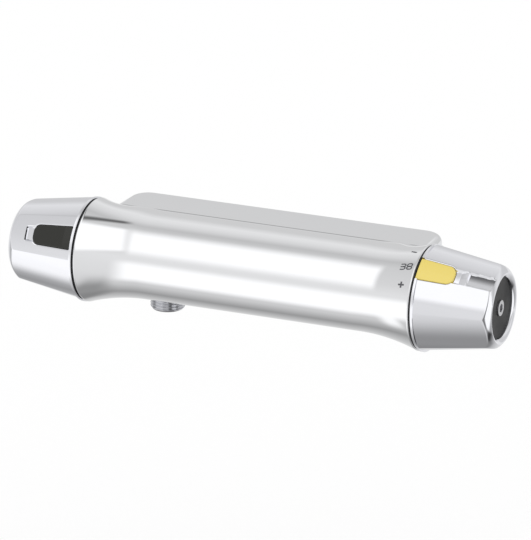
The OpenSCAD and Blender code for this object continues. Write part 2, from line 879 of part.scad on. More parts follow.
module handle_insert() {
    difference() {
        union() {
            bar(insert_hub_r, cavity_end_x + insert_flange_t - insert_hub_l, cavity_end_x + insert_flange_t);
            bar(insert_seat_r - seat_gap, cavity_end_x - over, cavity_end_x + insert_flange_t);
            tube(insert_drum_r, insert_drum_r - insert_drum_wall, drum_x, cavity_end_x);
            // rib that runs between the ends of the stop ring's arc
            at_angle(stop_rib_angle) translate([drum_x, -stop_rib_w / 2, stop_r + key_slack])
                cube([stop_t - drum_in, stop_rib_w,
                    insert_drum_r - insert_drum_wall / 2 - stop_r - key_slack]);
        }
        bar(spindle_r + seat_gap / 2, 0, neck_end_x + spline_l + over + seat_gap);
        bar(screw_r + screw_slack, 0, handle_end_x);
    }
}

module handle_screw() {
    head_x = handle_end_x - disc_recess - disc_t;
    difference() {
        union() {
            bar(screw_head_r, head_x, head_x + screw_head_t);
            bar(screw_r - seat_gap / 2, neck_end_x + spline_l - screw_reach, head_x + over);
        }
        translate([head_x + screw_head_t - socket_depth, 0, 0]) rotate([0, 90, 0])
            cylinder(r = socket_af / 2 / cos(30), h = socket_depth + over, $fn = 6);
    }
}

module end_disc() {
    x0 = handle_end_x - disc_recess - disc_t;
    tube(disc_r, screw_head_r + disc_gap, x0, x0 + disc_t);
}

module temp_glide_ring() { color("black") on_axis() glide_ring(); }
module flow_glide_ring() { color("black") on_axis() left_side() glide_ring(); }
module temp_retaining_nut() { color("goldenrod") on_axis() retaining_nut(); }
module flow_retaining_nut() { color("goldenrod") on_axis() left_side() retaining_nut(); }
module temp_stop_ring() { color("darkorange") on_axis() stop_ring(cold_turn, hot_turn); }
module flow_stop_ring() { color("dimgray") on_axis() left_side() stop_ring(0, flow_turn); }
module flow_housing() { color("ivory") on_axis() left_side() flow_housing_part(); }
module flow_orings() {
    color("black") on_axis() left_side() oring_at((flow_disc_x + housing_end_x - housing_front_t) / 2);
}
module flow_base() { color("ivory") on_axis() left_side() flow_base_part(); }
module flow_fixed_disc() { color("whitesmoke") on_axis() left_side() fixed_disc_part(); }
module flow_moving_disc() { color("lightgray") on_axis() left_side() moving_disc_part(); }
module flow_driver() { color("dimgray") on_axis() left_side() driver_part(); }
module flow_spindle() { color("goldenrod") on_axis() left_side() flow_spindle_part(); }

module temp_handle_shell() {
    color("gainsboro") on_axis() difference() {
        // this button, its dish and the scoop that runs on from them lie along a ridge between two flats
        handle_shell(temp_angle, temp_angle + flat_step / 2, 0, temp_button_l, temp_dish_l);
        tilted(temp_angle) translate([-handle_l / 2, 0, scoop_r - scoop_depth]) rotate([0, 90, 0])
            translate([0, 0, handle_l / 2 + temp_button_l + temp_dish_l - over]) cylinder(r = scoop_r, h = handle_l);
    }
}
module flow_handle_shell() {
    color("gainsboro") on_axis() left_side()
        handle_shell(flow_angle, flow_angle, flow_button_in, flow_button_l, flow_dish_l);
}
module temp_handle_insert() { color("white") on_axis() handle_insert(); }
module flow_handle_insert() { color("white") on_axis() left_side() handle_insert(); }
module temp_handle_screw() { color("silver") on_axis() handle_screw(); }
module flow_handle_screw() { color("silver") on_axis() left_side() handle_screw(); }
module temp_end_disc() { color([0.2, 0.2, 0.2]) on_axis() end_disc(); }
module flow_end_disc() { color([0.2, 0.2, 0.2]) on_axis() left_side() end_disc(); }
module temp_button() { color("khaki") on_axis() button(temp_angle, 0, temp_button_l); }
module flow_button() {
    color([0.25, 0.25, 0.22]) on_axis() left_side() button(flow_angle, flow_button_in, flow_button_l);
}
module temp_button_spring() { color("silver") on_axis() button_spring(temp_angle); }
module flow_button_spring() { color("silver") on_axis() left_side() button_spring(flow_angle); }

mixer_body();
outlet_nipple();
inlet_spigot(-1);  // inlet_spigot_hot
inlet_spigot(1);  // inlet_spigot_cold
union_nut(-1);  // union_nut_hot
union_nut(1);  // union_nut_cold
strainer(-1);  // strainer_hot
strainer(1);  // strainer_cold
check_cage(-1);  // check_cage_hot
check_cage(1);  // check_cage_cold
check_poppet(-1);  // check_poppet_hot
check_poppet(1);  // check_poppet_cold
check_spring(-1);  // check_spring_hot
check_spring(1);  // check_spring_cold
temp_glide_ring();
flow_glide_ring();
temp_retaining_nut();
flow_retaining_nut();
temp_stop_ring();
flow_stop_ring();
thermo_housing();
thermo_orings();
thermo_spindle();
regulating_nut();
overload_plunger();
overload_spring();
wax_pin();
wax_element();
mixing_piston();
return_spring();
flow_housing();
flow_orings();
flow_base();
flow_fixed_disc();
flow_moving_disc();
flow_driver();
flow_spindle();
temp_handle_shell();
temp_handle_insert();
temp_handle_screw();
temp_end_disc();
temp_button();
temp_button_spring();
flow_handle_shell();
flow_handle_insert();
flow_handle_screw();
flow_end_disc();
flow_button();
flow_button_spring();
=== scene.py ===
import json
import math

import bpy
import numpy as np
from mathutils import Matrix


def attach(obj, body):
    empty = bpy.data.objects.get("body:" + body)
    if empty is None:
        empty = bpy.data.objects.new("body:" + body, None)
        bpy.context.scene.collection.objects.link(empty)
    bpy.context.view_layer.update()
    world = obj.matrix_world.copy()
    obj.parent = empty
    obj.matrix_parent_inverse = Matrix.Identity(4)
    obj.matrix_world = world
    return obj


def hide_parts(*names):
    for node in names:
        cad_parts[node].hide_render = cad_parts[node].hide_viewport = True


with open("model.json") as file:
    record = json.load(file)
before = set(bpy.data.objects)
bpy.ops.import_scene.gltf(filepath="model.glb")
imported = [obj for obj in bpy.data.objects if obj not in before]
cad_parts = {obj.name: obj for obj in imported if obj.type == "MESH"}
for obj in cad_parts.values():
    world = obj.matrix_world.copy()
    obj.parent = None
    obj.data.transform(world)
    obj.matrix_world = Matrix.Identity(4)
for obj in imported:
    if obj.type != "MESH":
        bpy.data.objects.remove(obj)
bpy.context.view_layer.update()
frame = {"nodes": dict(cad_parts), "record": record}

MM = 0.001

# Sizes in millimetres, measured from the mixer's long axis and from the middle between its ends. Angles
# round the axis are in degrees, 0 in front and 90 on top. On a handle u runs outwards from the gap, v across.
AXIS_BACK = 62.0

# Round body
WAIST_R, RING_R, RING_X, RING_EDGE, FLARE_L = 25.0, 31.5, 106.0, 0.6, 38.0
BORE_R, DUCT_R, FLOW_FLOOR, THERMO_FLOOR = 19.0, 8.0, 56.0, 46.0
BULGE_R, BULGE_START, BULGE_HOLD, BULGE_STOP, BULGE_FADE = 54.0, 80.0, 150.0, 165.0, 25.0
BULGE_RING_GAP, BULGE_RING_FADE = 3.0, 24.0

# Rear block
BLOCK_END, BLOCK_DRAFT, BLOCK_BACK, BLOCK_H, BLOCK_CORNER = 100.0, 1.0, 46.0, 48.0, 9.0
BLOCK_END_ROUND, BLOCK_BACK_ROUND, SEAM_Y, SEAM_ROUND = 4.0, 1.0, 17.5, 1.1
# Width of the painted shade in the groove between the body and the block, and the share of the colour left
# there
SEAM_SHADE_W, SEAM_SHADE = 1.5, 0.6

# Handles: flats, rim, cavity, shoulder and the sunk end with the lip round its disc
HANDLE_X, HANDLE_L, FLAT_R, CROWN_R, TAPER = 107.2, 46.0, 30.5, 45.0, math.radians(9)
FLATS = 7
FLAT_STEP = 360.0 / FLATS
RIM_W, RIM_EDGE, CAVITY_L, CAVITY_R = 1.6, 0.3, 29.5, 27.5
SHOULDER_R, SHOULDER_L, SHOULDER_START_R, SHOULDER_LIP, CAP_RISE = 12.0, 7.2, 26.0, 2.9, 2.0
DISC_R, DISC_SINK, DISC_T, DISC_GAP, SCREW_HOLE = 18.0, 2.8, 1.2, 0.1, 2.7
LIP_TOP_W, LIP_TURN_W, LIP_TURN_DROP = 0.4, 0.9, 0.15
LIP_L, LIP_FOOT_W, LIP_FOOT_RISE, LIP_FOOT_DROP = 1.6, 0.3, 0.2, 0.1
RIDGE_SOFT, EDGE_SOFT = 0.15, 0.35

# Buttons and their windows, which have a soft lip
BUTTON_W, BUTTON_END_W, BUTTON_GAP, BUTTON_FOOT = 14.0, 11.6, 0.3, 24.0
BUTTON_EDGE, BUTTON_PROUD, FAR_CORNER, NEAR_CORNER, FACET_L = 0.6, 0.2, 4.2, 1.2, 4.8
SLOT_LIP, SLOT_LIP_W = 0.3, 0.8
TEMP_WINDOW = {"side": 1, "angle": 53.0, "start": 0.0, "stop": 21.4}
FLOW_WINDOW = {"side": -1, "angle": 30.0, "start": 2.2, "stop": 28.6}

# Dish behind a button, and the scoop behind the right one's dish
DISH_DEPTH, DISH_W, DISH_END_W, DISH_SIDE, DISH_CORNER = 1.4, 10.6, 9.0, 1.0, 1.0
DISH_UNDER, DISH_PAST = 6.0, 3.0
SCOOP_DEPTH, SCOOP_R, SCOOP_W, SCOOP_REACH = 0.65, 60.0, 9.4, 10.0
SCOOP_SIDE, SCOOP_TILT = 0.7, math.radians(4.5)

# Outlet nipple and its thread
OUTLET_X, OUTLET_BACK, OUTLET_R, OUTLET_L, OUTLET_BORE = -64.0, 12.0, 10.48, 10.5, 7.0
OUTLET_ROOT, OUTLET_CHAMFER, OUTLET_MOUTH = 2.0, 1.1, 0.5
THREAD_PITCH, THREAD_DEPTH, THREAD_CREST = 1.814, 1.0, 1.15
THREAD_START, THREAD_START_FADE, THREAD_STOP, THREAD_STOP_FADE = 1.2, 0.8, 0.2, 0.9

# Printed marks: strokes, the figure's size, and the place and angle of each mark's middle
MARK_W, MARK_BAR_W, MARK_BAR, MARK_LIFT = 0.85, 1.1, 3.9, 0.04
LESS_RUN, LESS_DROP = 2.0, 1.1
FIGURE_W, FIGURE_H, FIGURE_STEP, HOOK_INSET = 3.1, 4.0, 4.3, 0.35
LESS_AT, FIGURE_AT, MORE_AT = (99.9, 78.0), (99.5, 53.7), (99.3, 31.3)

# Scales of the soft change and of the fine grain in all finishes, and the grain's height in metres
CHANGE_SCALE, CHANGE_DETAIL, GRAIN_SCALE, GRAIN_HEIGHT = 60.0, 4.0, 900.0, 0.0002
CHROME = (0.93, 0.935, 0.95)


def make_camera():
    """The camera stands right of, before and above the mixer and looks along one unturned line of sight. It
    is moved back along that line by the distance, and to the right and up by two offsets. Its focal length
    is given in pixels of the photograph, whose longer side fills the sensor."""
    azimuth, elevation = math.radians(23.2), math.radians(19.7)
    distance, to_right, upwards = 2400.0, 4.11, 1.75
    focal, photo_side, sensor = 4093.0, 540.0, 36.0
    sa, ca, se, ce = math.sin(azimuth), math.cos(azimuth), math.sin(elevation), math.cos(elevation)
    right = np.array([ca, sa, 0.0])
    up = np.array([-sa * se, ca * se, ce])
    ahead = np.array([-sa * ce, ca * ce, -se])
    place = to_right * right + upwards * up - distance * ahead - np.array([0.0, AXIS_BACK, 0.0])
    data = bpy.data.cameras.new("camera")
    data.sensor_width = sensor
    data.sensor_fit = "AUTO"
    data.lens = focal / photo_side * sensor
    data.clip_end = 50.0
    camera = bpy.data.objects.new("camera", data)
    bpy.context.scene.collection.objects.link(camera)
    turn = Matrix(np.stack([right, up, -ahead], axis=1).tolist()).to_4x4()
    camera.matrix_world = Matrix.Translation((place * MM).tolist()) @ turn
    bpy.context.scene.camera = camera


make_camera()
bpy.context.scene.view_settings.view_transform = "Standard"


# Meshes from arrays

def add_mesh(name, verts, faces, sharp):
    """A mesh object in metres from points in millimetres; edges sharper than the given angle stay crisp.
    The faces are turned round where the volume that they enclose comes out negative."""
    verts = np.asarray(verts, dtype=float) * MM
    faces = np.asarray(faces, dtype=np.int64)
    a, b, c = verts[faces[:, 0]], verts[faces[:, 1]], verts[faces[:, 2]]
    volume = np.einsum("ij,ij->", a, np.cross(b, c))
    if faces.shape[1] == 4:
        volume += np.einsum("ij,ij->", a, np.cross(c, verts[faces[:, 3]]))
    if volume < 0:
        faces = faces[:, ::-1]
    mesh = bpy.data.meshes.new(name)
    count, corners = faces.shape
    mesh.vertices.add(len(verts))
    mesh.vertices.foreach_set("co", verts.ravel())
    mesh.loops.add(count * corners)
    mesh.loops.foreach_set("vertex_index", faces.ravel())
    mesh.polygons.add(count)
    mesh.polygons.foreach_set("loop_start", np.arange(count) * corners)
    mesh.update(calc_edges=True)
    mesh.polygons.foreach_set("use_smooth", np.ones(count, dtype=bool))
    mesh.set_sharp_from_angle(angle=math.radians(sharp))
    mesh.validate()
    obj = bpy.data.objects.new(name, mesh)
    bpy.context.scene.collection.objects.link(obj)
    return obj


def loop_faces(rows, cols):
    """Quads of a grid that closes in both directions, such as a ring's skin."""
    i, j = np.meshgrid(np.arange(rows), np.arange(cols), indexing="ij")
    k, l = (i + 1) % rows, (j + 1) % cols
    return np.stack([i * cols + j, k * cols + j, k * cols + l, i * cols + l], axis=-1).reshape(-1, 4)


def tube_faces(rows, cols):
    """Quads of a grid that closes across its rows only, such as a tube's skin."""
    return loop_faces(rows, cols)[:(rows - 1) * cols]


def arc(cx, cy, r, start, stop, count):
    """Points on a circle's arc from one angle to another, in degrees."""
    t = np.radians(np.linspace(start, stop, count))
    return np.stack([cx + r * np.cos(t), cy + r * np.sin(t)], axis=-1)


def join(*parts):
    """Polyline from its pieces, without points that lie on one another."""
    line = np.concatenate([np.atleast_2d(p).astype(float) for p in parts])
    keep = np.linalg.norm(line - np.roll(line, 1, axis=0), axis=1) > 1e-5
    return line[keep]


def smooth(t):
    """Soft step from 0 to 1."""
    t = np.clip(t, 0, 1)
    return t * t * (3 - 2 * t)


def round_about(x, r, angle):
    """Points at the distance r from the mixer's axis; the angle is 0 in front and 90 degrees on top."""
    t = np.radians(angle)
    x, r, t = np.broadcast_arrays(x, r, t)
    return np.stack([x, -AXIS_BACK - r * np.cos(t), r * np.sin(t)], axis=-1)


def signed_angle(angle):
    """The same angle between -180 and 180 degrees."""
    return (angle + 180.0) % 360.0 - 180.0


# Body

def flare_radius():
    """Radius of the arc that rises from the waist to the end ring, tangent to the waist."""
    rise = RING_R - WAIST_R
    return (FLARE_L ** 2 + rise ** 2) / (2 * rise)


def body_radius(x):
    """Outer radius of the round body at x: the waist, or the arc of the flare."""
    big = flare_radius()
    along = np.clip(np.abs(x) - (RING_X - FLARE_L), 0, FLARE_L)
    return WAIST_R + big - np.sqrt(big ** 2 - along ** 2)


def bulge(angle):
    """How far the body swells past its round section, above and below: the distance from the axis to a larger
    circle that touches the waist on the inside at BULGE_START. It grows up to BULGE_HOLD and fades out inside
    the rear block."""
    off = np.abs(signed_angle(angle))
    t = np.radians(np.clip(off, BULGE_START, BULGE_HOLD))
    touch = math.radians(BULGE_START)
    lean = math.cos(touch) * np.cos(t) + math.sin(touch) * np.sin(t)
    centre = BULGE_R - WAIST_R
    swell = np.sqrt(BULGE_R ** 2 - centre ** 2 + (centre * lean) ** 2) - centre * lean - WAIST_R
    return np.where(off > BULGE_START, swell * smooth((BULGE_STOP - off) / BULGE_FADE), 0.0)


def round_body(name):
    """The body's skin, its bores and the duct between them. The outline along X is carried round the axis;
    the outer rows swell by the bulge, which fades out along the flares, so that the end rings stay round.
    The columns stand closer together where the body swells."""
    flare_rows, waist_rows, waist_end = 60, 13, 60.0
    edge_x = RING_X - RING_EDGE
    x = np.concatenate([np.linspace(-edge_x, -RING_X + FLARE_L, flare_rows),
                        np.linspace(-waist_end, waist_end, waist_rows),
                        np.linspace(RING_X - FLARE_L, edge_x, flare_rows)])
    skin = np.stack([x, body_radius(x)], axis=-1)
    right = arc(edge_x, body_radius(edge_x) - RING_EDGE, RING_EDGE, 90, 0, 7)
    left = right[::-1] * [-1, 1]
    line = join([[-FLOW_FLOOR, BORE_R], [-RING_X, BORE_R]], left, skin, right,
                [[RING_X, BORE_R], [THERMO_FLOOR, BORE_R], [THERMO_FLOOR, DUCT_R], [-FLOW_FLOOR, DUCT_R]])
    columns = ((-76.0, 76.0, 1.5), (76.0, 136.0, 1.0), (136.0, 224.0, 2.0), (224.0, 284.0, 1.0))
    angle = np.concatenate([np.arange(*part) for part in columns])
    along, radius = line[:, None, 0], line[:, None, 1]
    clear_of_bore = 1.0
    outside = radius > BORE_R + clear_of_bore
    fade = smooth((RING_X - BULGE_RING_GAP - np.abs(along)) / BULGE_RING_FADE)
    radius = radius + outside * fade * bulge(angle[None, :])
    points = round_about(along, radius, angle[None, :])
    return add_mesh(name, points.reshape(-1, 3), loop_faces(len(line), len(angle)), 30)


def rear_block(name):
    """The rear block: its plan is carried up its height. Its ends draw in along large rounds above and
    below, its back and its front edge, which meets the body in a fine groove, along small ones. The ends
    are drafted."""
    arc_points, long_points = 13, 41

    def inset(r, from_top):
        """How far a round with the radius r draws in, at a depth under the top."""
        d = np.clip(r - from_top, 0, r)
        return r - math.sqrt(r * r - d * d)

    def plan(from_top):
        """The plan at a depth under the top: drafted ends, round rear corners, straight back and front."""
        end = BLOCK_END - inset(BLOCK_END_ROUND, from_top)
        back = BLOCK_BACK - inset(BLOCK_BACK_ROUND, from_top)
        front = SEAM_Y + inset(SEAM_ROUND, from_top)
        slope = math.degrees(math.atan2(BLOCK_DRAFT, BLOCK_BACK))
        right = join([[end + BLOCK_DRAFT, front]],
                     arc(end - BLOCK_CORNER, back - BLOCK_CORNER, BLOCK_CORNER, slope, 90, arc_points))
        left = right[::-1] * [-1, 1]
        behind = np.linspace(end - BLOCK_CORNER, BLOCK_CORNER - end, long_points)[1:-1]
        ahead = np.linspace(-end - BLOCK_DRAFT, end + BLOCK_DRAFT, long_points)[1:-1]
        return np.concatenate([right, np.column_stack([behind, np.full_like(behind, back)]), left,
                               np.column_stack([ahead, np.full_like(ahead, front)])])

    t = np.radians(np.linspace(90, 0, arc_points))
    rounds = (BLOCK_END_ROUND, BLOCK_BACK_ROUND, SEAM_ROUND)
    rings = []
    for from_top in np.unique(np.round(np.concatenate([r * (1 - np.sin(t)) for r in rounds]), 4)):
        p = plan(from_top)
        height = np.full(len(p), BLOCK_H / 2 - from_top)
        rings.append(np.column_stack([p[:, 0], p[:, 1] - AXIS_BACK, height]))
    rings = np.array(rings)
    rings = np.concatenate([rings, rings[::-1] * [1, 1, -1]])
    rows, cols = rings.shape[:2]
    # caps: each half of the plan's outline is paired with the other half across the block
    a = np.arange(cols // 2 - 1)
    cap = np.stack([a, cols - 1 - a, cols - 2 - a, a + 1], axis=-1)
    faces = np.concatenate([tube_faces(rows, cols), cap, cap[:, ::-1] + (rows - 1) * cols])
    return add_mesh(name, rings.reshape(-1, 3), faces, 40)


# Materials

def surface_group():
    """The change from place to place that all finishes share, as a node group. A soft noise in the object's
    own coordinates mixes two colours and two roughnesses, and a fine noise bumps the normal as strongly as
    the grain says."""
    group = bpy.data.node_groups.new("surface_change", "ShaderNodeTree")
    for name, kind in (("Low colour", "NodeSocketColor"), ("High colour", "NodeSocketColor"),
                       ("Low roughness", "NodeSocketFloat"), ("High roughness", "NodeSocketFloat"),
                       ("Grain", "NodeSocketFloat")):
        group.interface.new_socket(name, in_out="INPUT", socket_type=kind)
    for name, kind in (("Colour", "NodeSocketColor"), ("Roughness", "NodeSocketFloat"),
                       ("Normal", "NodeSocketVector")):
        group.interface.new_socket(name, in_out="OUTPUT", socket_type=kind)
    nodes, links = group.nodes, group.links
    given = nodes.new("NodeGroupInput")
    out = nodes.new("NodeGroupOutput")
    place = nodes.new("ShaderNodeTexCoord")
    noise = nodes.new("ShaderNodeTexNoise")
    noise.inputs["Scale"].default_value = CHANGE_SCALE
    noise.inputs["Detail"].default_value = CHANGE_DETAIL
    links.new(place.outputs["Object"], noise.inputs["Vector"])
    ramp = nodes.new("ShaderNodeMapRange")
    links.new(noise.outputs["Fac"], ramp.inputs["Value"])
    links.new(given.outputs["Low roughness"], ramp.inputs["To Min"])
    links.new(given.outputs["High roughness"], ramp.inputs["To Max"])
    links.new(ramp.outputs["Result"], out.inputs["Roughness"])
    mix = nodes.new("ShaderNodeMix")
    mix.data_type = "RGBA"
    links.new(noise.outputs["Fac"], mix.inputs["Factor"])
    links.new(given.outputs["Low colour"], mix.inputs["A"])
    links.new(given.outputs["High colour"], mix.inputs["B"])
    links.new(mix.outputs["Result"], out.inputs["Colour"])
    fine = nodes.new("ShaderNodeTexNoise")
    fine.inputs["Scale"].default_value = GRAIN_SCALE
    links.new(place.outputs["Object"], fine.inputs["Vector"])
    bump = nodes.new("ShaderNodeBump")
    bump.inputs["Distance"].default_value = GRAIN_HEIGHT
    links.new(given.outputs["Grain"], bump.inputs["Strength"])
    links.new(fine.outputs["Fac"], bump.inputs["Height"])
    links.new(bump.outputs["Normal"], out.inputs["Normal"])
    return group


def node_material(name):
    """An empty node material with its output, ready for a shader."""
    material = bpy.data.materials.new(name)
    material.use_nodes = True
    tree = material.node_tree
    tree.nodes.clear()
    out = tree.nodes.new("ShaderNodeOutputMaterial")
    return material, tree, out


def paint_groove_shade(tree, base, colour):
    """Paints shade into a base colour: darkens it, by a soft step along Y, where the metal reaches into the
    groove between the body and the block. The darkness is painted shade, not the metal's own colour."""
    nodes, links = tree.nodes, tree.links
    place = nodes.new("ShaderNodeTexCoord")
    split = nodes.new("ShaderNodeSeparateXYZ")
    links.new(place.outputs["Object"], split.inputs["Vector"])
    groove = nodes.new("ShaderNodeMapRange")
    groove.interpolation_type = "SMOOTHSTEP"
    groove.inputs["From Min"].default_value = (SEAM_Y - AXIS_BACK + SEAM_SHADE_W) * MM
    groove.inputs["From Max"].default_value = (SEAM_Y - AXIS_BACK + SEAM_SHADE_W / 2) * MM
    links.new(split.outputs["Y"], groove.inputs["Value"])
    shaded = nodes.new("ShaderNodeMix")
    shaded.data_type = "RGBA"
    shaded.inputs["B"].default_value = (*[c * SEAM_SHADE for c in colour], 1)
    links.new(groove.outputs["Result"], shaded.inputs["Factor"])
    links.new(base, shaded.inputs["A"])
    return shaded.outputs["Result"]


def finish(name, colour, metallic, roughness, grain=0.0, spread=0.0, coat=0.0, groove_shade_painted=False):
    """A finish whose roughness changes by about a third from place to place, its colour by the spread, and
    whose normal carries the grain."""
    material, tree, out = node_material(name)
    nodes, links = tree.nodes, tree.links
    shader = nodes.new("ShaderNodeBsdfPrincipled")
    change = nodes.new("ShaderNodeGroup")
    change.node_tree = SURFACE_CHANGE
    change.inputs["Low colour"].default_value = (*[c * (1 - spread) for c in colour], 1)
    change.inputs["High colour"].default_value = (*[min(c * (1 + spread), 1.0) for c in colour], 1)
    change.inputs["Low roughness"].default_value = max(0.7 * roughness - 0.01, 0.0)
    change.inputs["High roughness"].default_value = 1.3 * roughness + 0.01
    change.inputs["Grain"].default_value = grain
    shader.inputs["Base Color"].default_value = (*colour, 1)
    shader.inputs["Metallic"].default_value = metallic
    shader.inputs["Coat Weight"].default_value = coat
    links.new(change.outputs["Roughness"], shader.inputs["Roughness"])
    base = change.outputs["Colour"]
    # painted shade: the colour darkens where the metal reaches into the groove between the body and the block
    if groove_shade_painted:
        base = paint_groove_shade(tree, base, colour)
    if spread > 0:
        links.new(base, shader.inputs["Base Color"])
    if grain > 0:
        links.new(change.outputs["Normal"], shader.inputs["Normal"])
    links.new(shader.outputs["BSDF"], out.inputs["Surface"])
    return material


SURFACE_CHANGE = surface_group()

chrome = finish("body_chrome", CHROME, 1.0, 0.03, spread=0.01)
# the block's chrome carries painted shade along the groove where it meets the body
block_chrome = finish("block_chrome_mat", CHROME, 1.0, 0.03, spread=0.01, groove_shade_painted=True)
handle_chrome = finish("handle_chrome_mat", (0.90, 0.905, 0.94), 1.0, 0.06, spread=0.01)
# The thread's chrome is darker than the body's: painted shade for the dark roots of the thread.
thread_chrome_painted_shade = finish("thread_chrome_mat", (0.62, 0.625, 0.65), 1.0, 0.08, spread=0.03)
brass = finish("turned_brass", (0.78, 0.58, 0.28), 1.0, 0.25, grain=0.1)
steel = finish("spring_steel", (0.62, 0.62, 0.64), 1.0, 0.3, grain=0.1)
strainer = finish("strainer_mesh", (0.55, 0.55, 0.57), 1.0, 0.4, grain=0.3)
white_plastic = finish("white_moulding", (0.86, 0.86, 0.84), 0.0, 0.4, grain=0.1)
orange_plastic = finish("orange_moulding", (0.8, 0.32, 0.06), 0.0, 0.4, grain=0.1)
black_plastic = finish("black_moulding", (0.006, 0.006, 0.007), 0.0, 0.5, grain=0.1)
yellow_plastic = finish("button_yellow", (0.85, 0.68, 0.16), 0.0, 0.3, grain=0.05, coat=0.3)
olive_plastic = finish("button_dark", (0.014, 0.014, 0.010), 0.0, 0.3, grain=0.05)
rubber = finish("black_rubber", (0.02, 0.02, 0.02), 0.0, 0.6, grain=0.2)
ceramic = finish("ceramic_white", (0.9, 0.9, 0.88), 0.0, 0.15)
ink = finish("mark_grey", (0.10, 0.10, 0.11), 0.2, 0.4)

SLOTS = {
    "chrome": chrome, "handle_chrome": handle_chrome, "brass": brass, "steel": steel, "strainer": strainer,
    "white_plastic": white_plastic, "orange_plastic": orange_plastic, "black_plastic": black_plastic,
    "yellow_plastic": yellow_plastic, "olive_plastic": olive_plastic, "rubber": rubber, "ceramic": ceramic,
}


def dress(obj, material):
    """Gives a piece one material."""
    obj.data.materials.clear()
    obj.data.materials.append(material)
    return obj


# Handles

def soft_min(a, b, k):
    """The smaller of two values, with a soft step of the width k between them."""
    h = np.clip(0.5 + 0.5 * (b - a) / k, 0, 1)
    return b * (1 - h) + a * h - k * h * (1 - h)


def crown_height(u, v):
    """Height of a flat over the axis: a straight line that falls by the taper along u, less the sag of the
    crown across v."""
    return FLAT_R - u * math.tan(TAPER) - (CROWN_R - np.sqrt(CROWN_R ** 2 - v ** 2)) / math.cos(TAPER)


def crown_radius(u, phi):
    """Distance from the axis to a flat, phi degrees off its middle: a ray meets the tilted crown cylinder."""
    t = np.radians(phi)
    c2 = math.cos(TAPER) ** 2
    centre = FLAT_R - u * math.tan(TAPER) - CROWN_R / math.cos(TAPER)
    a = np.sin(t) ** 2 + c2 * np.cos(t) ** 2
    b = c2 * np.cos(t) * centre
    return (b + np.sqrt(b * b - a * (c2 * centre ** 2 - CROWN_R ** 2))) / a


def flats_radius(u, phi):
    """Distance from the axis to the flats, softly joined at their ridges."""
    near = (phi + FLAT_STEP / 2) % FLAT_STEP - FLAT_STEP / 2
    beside = np.where(near > 0, near - FLAT_STEP, near + FLAT_STEP)
    return soft_min(crown_radius(u, near), crown_radius(u, beside), RIDGE_SOFT)


def round_corner(a, b, r):
    """Distance to a corner with the radius r, from the distances to its two straight sides."""
    qa, qb = a + r, b + r
    return np.hypot(np.maximum(qa, 0), np.maximum(qb, 0)) + np.minimum(np.maximum(qa, qb), 0) - r


def slot_distance(u, v, start, stop, grow):
    """Distance to the outline of a button, grown by a gap and less than 0 inside: a slot that narrows away
    from the gap, with large far corners; a slot that doesn't begin at the gap has small near corners."""
    slope = (BUTTON_W - BUTTON_END_W) / 2 / (stop - start)
    side = (np.abs(v) - (BUTTON_W / 2 - (u - start) * slope + grow)) * math.cos(math.atan(slope))
    far = round_corner(side, u - stop - grow, FAR_CORNER + grow)
    near = start - grow - u
    return np.maximum(far, round_corner(side, near, NEAR_CORNER) if start > 0 else near)


def trough_distance(u, v, start, stop, half_start, half_stop, r):
    """Distance to a tapered box with round corners, less than 0 inside."""
    half = half_start + (half_stop - half_start) * (u - start) / (stop - start)
    return round_corner(np.abs(v) - half, np.abs(u - (start + stop) / 2) - (stop - start) / 2, r)


def dish_floor(u, v, start, stop, rise):
    """Distance from the axis to the dish's floor, which lies under the flat's crown, and how far the skin
    goes over to it: from 0 at the dish's sides to 1 inside, and back to 0 along the rise to its far end."""
    floor = crown_height(u, np.clip(v, -CROWN_R, CROWN_R)) - DISH_DEPTH
    sides = trough_distance(u, v, start - DISH_UNDER, stop + DISH_PAST, DISH_W / 2, DISH_END_W / 2,
                            DISH_CORNER)
    return np.hypot(floor, v), np.clip(np.minimum(-sides / DISH_SIDE, (stop - u) / rise), 0, 1)


def scoop_floor(u, v, start):
    """Distance from the axis to the scoop's floor, rounded and tilted across, and how far the skin goes over
    to it: from 0 at the scoop's sides and start to 1 inside."""
    across = np.clip(v, -SCOOP_REACH, SCOOP_REACH)
    top = FLAT_R - u * math.tan(TAPER) - SCOOP_DEPTH
    floor = top - SCOOP_R + np.sqrt(SCOOP_R ** 2 - across ** 2) - across * math.tan(SCOOP_TILT)
    into = np.clip((SCOOP_W / 2 - np.abs(v)) / SCOOP_SIDE, 0, 1) * np.clip((u - start) / SCOOP_SIDE, 0, 1)
    return np.hypot(floor, v), into


def shoulder_arc():
    """Centre of the shoulder's arc and the angles of its two ends. It runs from the cap's cone, at the
    shoulder's start, to the lip round the end disc."""
    start = np.array([HANDLE_L - SHOULDER_L, SHOULDER_START_R])
    stop = np.array([HANDLE_L, DISC_R + SHOULDER_LIP])
    half = (stop - start) / 2
    inward = np.array([half[1], -half[0]]) / np.linalg.norm(half)
    centre = start + half + inward * math.sqrt(SHOULDER_R ** 2 - half @ half)
    angles = [math.degrees(math.atan2(p[1] - centre[1], p[0] - centre[0])) for p in (start, stop)]
    return centre, angles


def cap_radius(u):
    """Radius of the cap's cone, which stays clear of the ridges up to the shoulder."""
    slope = (RING_R + CAP_RISE - SHOULDER_START_R) / (HANDLE_L - SHOULDER_L)
    return RING_R + CAP_RISE - u * slope


